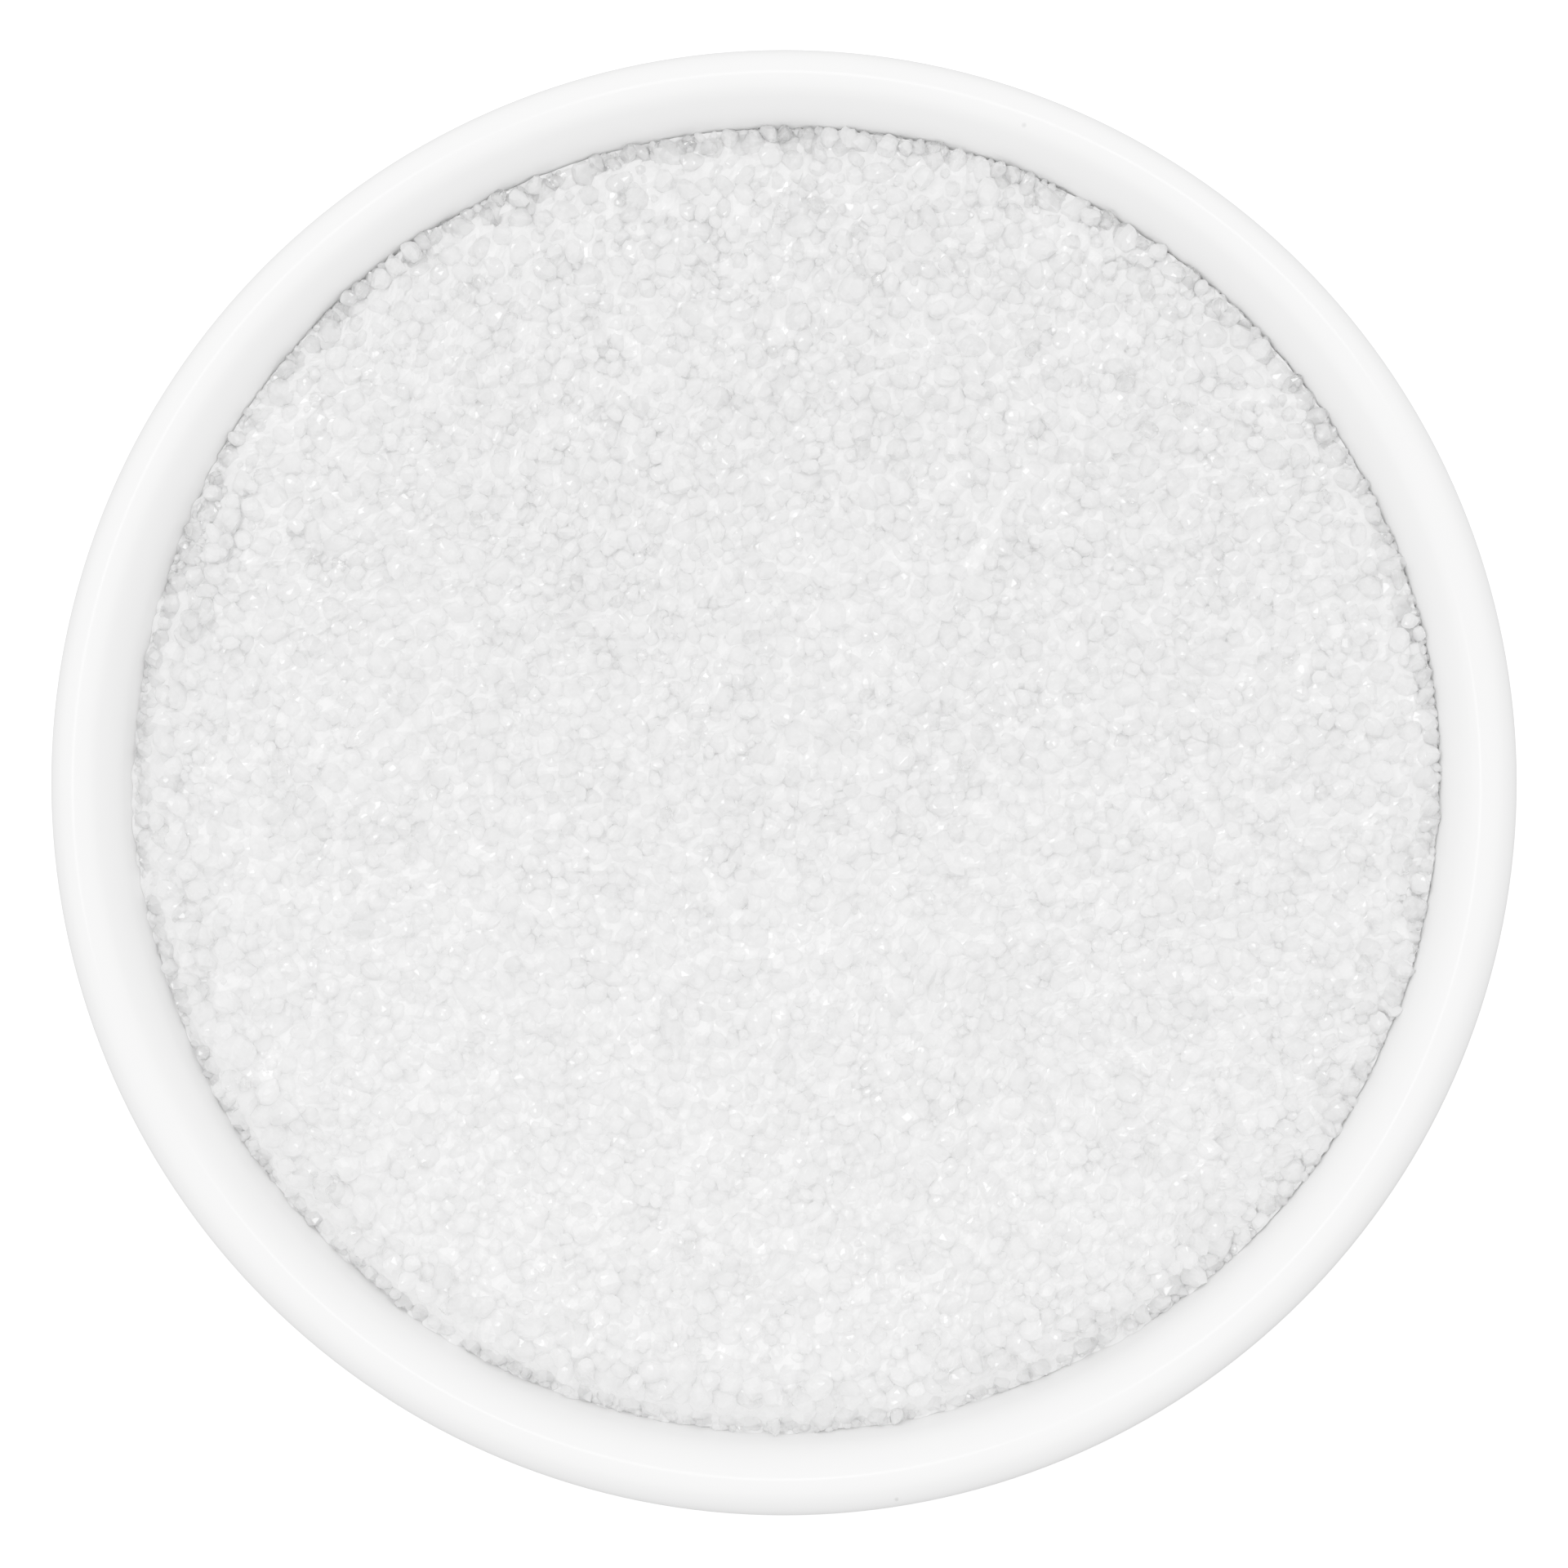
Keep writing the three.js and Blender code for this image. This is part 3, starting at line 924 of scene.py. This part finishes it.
def add_cut_crystals(rng, name, balls, scene):
    """The few crystals with flat, glinting sides, each with its own facets."""
    points, faces, count = [], [], 0
    for ball in balls:
        shape, shape_faces = cut_crystal(rng, np.array(CUT_STRETCH))
        own_points, own_faces = copies(rng, [shape], shape_faces, [ball], CUT_TILT_SPREAD)
        points.append(own_points)
        faces.append(own_faces + count)
        count += len(own_points)
    material = crystal_material(name, scene, CUT_LOOK)
    return add_piece(name, np.vstack(points), np.vstack(faces), False, material)


def kind_of(is_lower, is_by_wall, chance):
    """The kind that a crystal gets by its place and a draw from 0 to 1."""
    if is_lower:
        return "crystals_lower"
    if chance < CUT_SHARE:
        return "crystals_cut"
    chance = (chance - CUT_SHARE) / (1 - CUT_SHARE)
    for name, kind in KINDS.items():
        chance -= kind.wall_share if is_by_wall else kind.share
        if chance < 0:
            return name
    return name


def attach(piece, node):
    """The piece rides with the part and stands for one of its nodes."""
    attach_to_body(piece, "root")
    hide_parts(node)


class SWEETENER_OT_add_dish(Operator):
    """Turns the glazed dish from its profile"""

    bl_idname = "sweetener.add_dish"
    bl_label = "Dish"

    def execute(self, context):
        scene = context.scene
        dish = scene.dish_settings
        profile = dish_profile(dish, Wall(dish))
        points, faces = turned(profile, dish.segments)
        piece = add_piece(
            "glazed_dish",
            points,
            faces,
            True,
            glaze_material(scene),
            bare_clay_material(scene),
        )
        resting = dish.foot_edge / 2
        for face in piece.data.polygons:
            face.material_index = int(face.center.z < resting)
        attach(piece, "dish")
        return {"FINISHED"}


def disc_grid(steps):
    """A square grid pushed out onto a unit disc: its flat points, its faces, and its border's points in
    order of angle."""
    side = np.linspace(-1, 1, steps + 1)
    u, v = (grid.ravel() for grid in np.meshgrid(side, side))
    reach = np.maximum(np.abs(u), np.abs(v))
    flat = np.abs(u) >= np.abs(v)
    with np.errstate(divide="ignore", invalid="ignore"):
        turn = np.where(flat, v / u, 2 - u / v) * math.pi / 4
    turn = np.where(reach == 0, 0, turn)
    turn = turn + math.pi * np.where(flat, u < 0, v < 0)
    points = np.column_stack([reach * np.cos(turn), reach * np.sin(turn)])
    index = np.arange((steps + 1) ** 2).reshape(steps + 1, steps + 1)
    faces = np.stack([index[:-1, :-1], index[:-1, 1:], index[1:, 1:], index[1:, :-1]], -1)
    border = np.flatnonzero(reach > 1 - 1e-9)
    around = np.arctan2(points[border, 1], points[border, 0])
    return points, faces.reshape(-1, 4), border[np.argsort(around)]


CORE_STEPS = 262  # across the core's grid


def sunk_crystals(rng, x, y):
    """The relief of faceted crystals that lie half sunk and close together: at each place, how far the
    highest one stands up."""
    pitch = 0.74 * MM  # one crystal in each square of this size
    columns = np.floor(x / pitch).astype(int)
    rows = np.floor(y / pitch).astype(int)
    low = min(columns.min(), rows.min()) - 1
    count = max(columns.max(), rows.max()) - low + 2
    every = (count, count)
    sides = 7
    edge_depth = 0.3 * MM  # a crystal's edge under its top, where its size is measured
    shift = rng.uniform(0.1, 0.9, (*every, 2)) * pitch
    size = rng.uniform(0.34, 0.6, every) * MM
    lift = rng.uniform(-0.12, 0.12, every) * MM
    tilt = rng.normal(0, 0.22, (*every, 2))
    turn = (np.arange(sides) + rng.uniform(-0.3, 0.3, (*every, sides))) * FULL_TURN / sides
    steep = np.tan(rng.uniform(0.5, 1.2, (*every, sides)))
    blunt = 0.03 * MM  # how round its edges are
    relief = np.full(len(x), -0.35 * MM)  # the deepest gaps
    for i in (-1, 0, 1):
        for j in (-1, 0, 1):
            a, b = columns + i - low, rows + j - low
            dx = x - ((columns + i) * pitch + shift[a, b, 0])
            dy = y - ((rows + j) * pitch + shift[a, b, 1])
            out = dx[:, None] * np.cos(turn[a, b]) + dy[:, None] * np.sin(turn[a, b])
            # Each side slopes down outwards, and the top is tilted a little.
            side = (size[a, b][:, None] - out) * steep[a, b] - edge_depth
            top = tilt[a, b, 0] * dx + tilt[a, b, 1] * dy
            planes = np.minimum(np.column_stack([side, top]), MM)
            own = -blunt * np.log(np.exp(-planes / blunt).sum(axis=1))
            relief = np.maximum(relief, own + lift[a, b])
    return relief


class SWEETENER_OT_add_core(Operator):
    """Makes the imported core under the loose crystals, with half sunk crystals in relief on its top"""

    bl_idname = "sweetener.add_core"
    bl_label = "Packed core"

    def execute(self, context):
        scene = context.scene
        heap = Heap(scene)
        s = scene.sweetener_settings
        rng = np.random.default_rng(s.seed)
        flat, faces, border = disc_grid(CORE_STEPS)
        gap = s.core_gap / math.sin(heap.wall.slope)
        flat *= heap.wall.radius_at(heap.border_height + s.core_edge_rise) - gap
        x, y = flat[:, 0], flat[:, 1]
        height = heap.core_top(x, y) + sunk_crystals(rng, x, y)
        # Where the surface is lower the wall is nearer.
        room = (heap.wall.radius_at(height) - gap) / np.maximum(np.hypot(x, y), MM)
        points = [np.column_stack([x * np.minimum(room, 1), y * np.minimum(room, 1), height])]
        under = inside_profile(scene.dish_settings, heap.wall, s.core_gap, 8)[1:-1]
        count = len(border)
        turns = np.arctan2(y[border], x[border])
        above, start = border, len(x)
        rings = []
        for radius, low in under[::-1]:
            points.append(ring_at(radius, low, turns))
            ring = np.arange(start, start + count)
            rings.append(np.column_stack([above, ring, np.roll(ring, -1), np.roll(above, -1)]))
            above, start = ring, start + count
        faces = np.vstack([faces, *rings]).tolist()
        points.append([[0, 0, under[0][1]]])
        faces += [(start, b, a) for a, b in zip(above.tolist(), np.roll(above, -1).tolist())]
        piece = add_piece(
            "packed_core", np.vstack(points), faces, False, packed_crystal_material(scene)
        )
        attach(piece, "sweetener")
        return {"FINISHED"}


class SWEETENER_OT_add_crystals(Operator):
    """Settles the loose crystals in the dish, and makes one piece of each kind"""

    bl_idname = "sweetener.add_crystals"
    bl_label = "Loose crystals"

    def execute(self, context):
        scene = context.scene
        s = scene.sweetener_settings
        heap = Heap(scene)
        rng = np.random.default_rng(s.seed)
        balls = line_wall(rng, heap)
        spread = rng.beta(*MAIN_SPREAD, MAIN_DROP.count)
        widths = s.smallest + (s.largest - s.smallest) * spread
        balls = settle(rng, heap, widths / 2, MAIN_DROP, balls)
        for drop in SMALL_DROPS:
            widths = rng.uniform(*drop.widths, drop.count) * MM
            balls = settle(rng, heap, widths / 2, drop, balls)

        where = np.array([(b.x, b.y) for b in balls])
        tops = np.array([b.z + b.radius for b in balls])
        sizes = np.array([b.radius for b in balls])
        depth = heap.height(where[:, 0], where[:, 1]) + s.crystal_rise - tops
        lower = (depth > LOWER_DEPTH) | (sizes < LOWER_RADIUS)
        by_wall = np.hypot(where[:, 0], where[:, 1]) > heap.radius - BY_THE_WALL
        draw = rng.random(len(balls))
        groups = defaultdict(list)
        for ball, is_lower, is_by_wall, chance in zip(balls, lower, by_wall, draw):
            groups[kind_of(is_lower, is_by_wall, chance)].append(ball)
        pieces = [
            add_cut_crystals(rng, "crystals_cut", groups["crystals_cut"], scene),
            add_crystals(rng, "crystals_lower", LOWER_KIND, groups["crystals_lower"], scene),
        ]
        for name, kind in KINDS.items():
            pieces.append(add_crystals(rng, name, kind, groups[name], scene))
        for piece in pieces:
            attach(piece, "sweetener")
        return {"FINISHED"}


# ---- The stage


def aim(thing, target):
    """Points a light or camera at a place."""
    thing.rotation_euler = (target - thing.location).to_track_quat("-Z", "Y").to_euler()


def add_window(name, stage, direction, target):
    """A long soft light in a direction from the target."""
    light = bpy.data.lights.new(name, "AREA")
    light.shape = "RECTANGLE"
    light.size, light.size_y = stage.window_width, stage.window_height
    light.energy = stage.window_power
    window = bpy.data.objects.new(name, light)
    bpy.context.scene.collection.objects.link(window)
    window.location = target + direction * stage.window_distance
    aim(window, target)
    return window


def table_material(scene):
    """Plain pale table, faintly mottled."""
    base = scene.stage_settings.table
    material, tree, shader = new_material("pale_table", Roughness=0.7)
    toned = mixed_colour(tree, mapped(tree, noise(tree, 20 * MM), 0, 1), base, shaded(base, 0.99))
    tree.links.new(toned, shader.inputs["Base Color"])
    shader.inputs["Emission Color"].default_value = (*WHITE, 1)
    shader.inputs["Emission Strength"].default_value = scene.stage_settings.table_glow
    return material


TABLE_WIDTH = 1.6
# The picture's tones: light in the scene, and how bright it comes out
TONES = (
    (0.15, 0.43),
    (0.25, 0.575),
    (0.34, 0.675),
    (0.42, 0.74),
    (0.5, 0.79),
    (0.6, 0.83),
    (0.7, 0.86),
    (0.8, 0.89),
    (0.87, 0.918),
    (1.0, 0.95),
)
WHITE_LEVEL = 1.2
LIGHT_BOUNCES = 10  # light goes from crystal to crystal many times


def expose_bright(view):
    """Sets the bright, soft tones of a picture on white."""
    view.use_curve_mapping = True
    curves = view.curve_mapping
    curves.white_level = shaded(WHITE, WHITE_LEVEL)
    curve = curves.curves[3]
    for light, tone in TONES:
        curve.points.new(light / WHITE_LEVEL, tone)
    curves.update()


def soft_sky(stage):
    """A white sky that is lightest on one side and fades away from it."""
    world = bpy.data.worlds.new("soft_sky")
    world.use_nodes = True
    tree = world.node_tree
    flat = math.cos(stage.sky_rise)
    place = add_node(tree, "ShaderNodeTexCoord")
    facing = add_node(tree, "ShaderNodeVectorMath", operation="DOT_PRODUCT")
    tree.links.new(place.outputs["Generated"], facing.inputs[0])
    lightest = (*on_circle(0, flat, stage.sky_side), math.sin(stage.sky_rise))
    facing.inputs[1].default_value = lightest
    from_side = mapped(tree, facing.outputs["Value"], stage.sky_dim, stage.sky_bright, -0.5, 1.0)
    rise = add_node(tree, "ShaderNodeSeparateXYZ")
    tree.links.new(place.outputs["Generated"], rise.inputs["Vector"])
    from_height = mapped(tree, rise.outputs["Z"], stage.horizon, 1, -0.1, 0.4)
    light = add_node(tree, "ShaderNodeMath", operation="MULTIPLY")
    tree.links.new(from_side, light.inputs[0])
    tree.links.new(from_height, light.inputs[1])
    background = tree.nodes["Background"]
    background.inputs["Color"].default_value = (*WHITE, 1)
    tree.links.new(light.outputs["Value"], background.inputs["Strength"])
    return world


# The soft lights' names and directions, in degrees from +X, and how far from straight up they are
WINDOWS = (("window_left", 155), ("window_top", 72))
WINDOW_TILT = 27


class SWEETENER_OT_add_stage(Operator):
    """Sets the table, the light and the camera that looks straight down"""

    bl_idname = "sweetener.add_stage"
    bl_label = "Table, light and camera"

    def execute(self, context):
        scene = context.scene
        stage = scene.stage_settings
        bpy.ops.mesh.primitive_plane_add(size=TABLE_WIDTH)
        table = context.object
        table.name = "table"
        table.data.materials.append(table_material(scene))
        # The dish stands out from the white table, so the table throws no light back at it.
        table.visible_diffuse = table.visible_glossy = table.visible_transmission = False

        target = Vector((0, 0, DISH_BOX[1].z))
        tilt = math.radians(WINDOW_TILT)
        for name, degrees in WINDOWS:
            turn = math.radians(degrees)
            direction = Vector((*on_circle(0, math.sin(tilt), turn), math.cos(tilt)))
            add_window(name, stage, direction, target)

        scene.world = soft_sky(stage)

        lens = bpy.data.cameras.new("camera")
        lens.lens = stage.lens
        lens.sensor_width = SENSOR_WIDTH
        lens.clip_start, lens.clip_end = 0.01, 10
        camera = bpy.data.objects.new("camera", lens)
        scene.collection.objects.link(camera)
        scale = pixel_size(stage)
        camera.location = (
            (PHOTO_SIDE / 2 - DISH_MIDDLE_PX[0]) * scale,
            (DISH_MIDDLE_PX[1] - PHOTO_SIDE / 2) * scale,
            stage.camera_height,
        )
        scene.camera = camera

        scene.view_settings.view_transform = "Standard"
        expose_bright(scene.view_settings)
        scene.cycles.max_bounces = LIGHT_BOUNCES
        scene.cycles.diffuse_bounces = LIGHT_BOUNCES
        scene.cycles.transmission_bounces = LIGHT_BOUNCES
        return {"FINISHED"}


class VIEW3D_PT_sweetener(Panel):
    """The pieces and their settings in the sidebar"""

    bl_label = "Dish of Sweetener"
    bl_space_type = "VIEW_3D"
    bl_region_type = "UI"
    bl_category = "Sweetener"

    def draw(self, context):
        for operator, settings in SECTIONS:
            box = self.layout.box()
            box.operator(operator.bl_idname, text=operator.bl_label)
            group = getattr(context.scene, settings)
            for name in group.bl_rna.properties.keys():
                if name not in ("rna_type", "name"):
                    box.prop(group, name)


SECTIONS = (
    (SWEETENER_OT_add_dish, "dish_settings"),
    (SWEETENER_OT_add_core, "sweetener_settings"),
    (SWEETENER_OT_add_crystals, "sweetener_settings"),
    (SWEETENER_OT_add_stage, "stage_settings"),
)
SETTINGS = {
    "dish_settings": DishSettings,
    "sweetener_settings": SweetenerSettings,
    "stage_settings": StageSettings,
}
CLASSES = (
    *SETTINGS.values(),
    SWEETENER_OT_add_dish,
    SWEETENER_OT_add_core,
    SWEETENER_OT_add_crystals,
    SWEETENER_OT_add_stage,
    VIEW3D_PT_sweetener,
)


def register():
    for kind in CLASSES:
        bpy.utils.register_class(kind)
    for name, group in SETTINGS.items():
        setattr(bpy.types.Scene, name, PointerProperty(type=group))


def unregister():
    for name in SETTINGS:
        delattr(bpy.types.Scene, name)
    for kind in reversed(CLASSES):
        bpy.utils.unregister_class(kind)


def main():
    register()
    bpy.ops.sweetener.add_stage()
    bpy.ops.sweetener.add_dish()
    bpy.ops.sweetener.add_core()
    bpy.ops.sweetener.add_crystals()


if __name__ == "__main__":
    main()
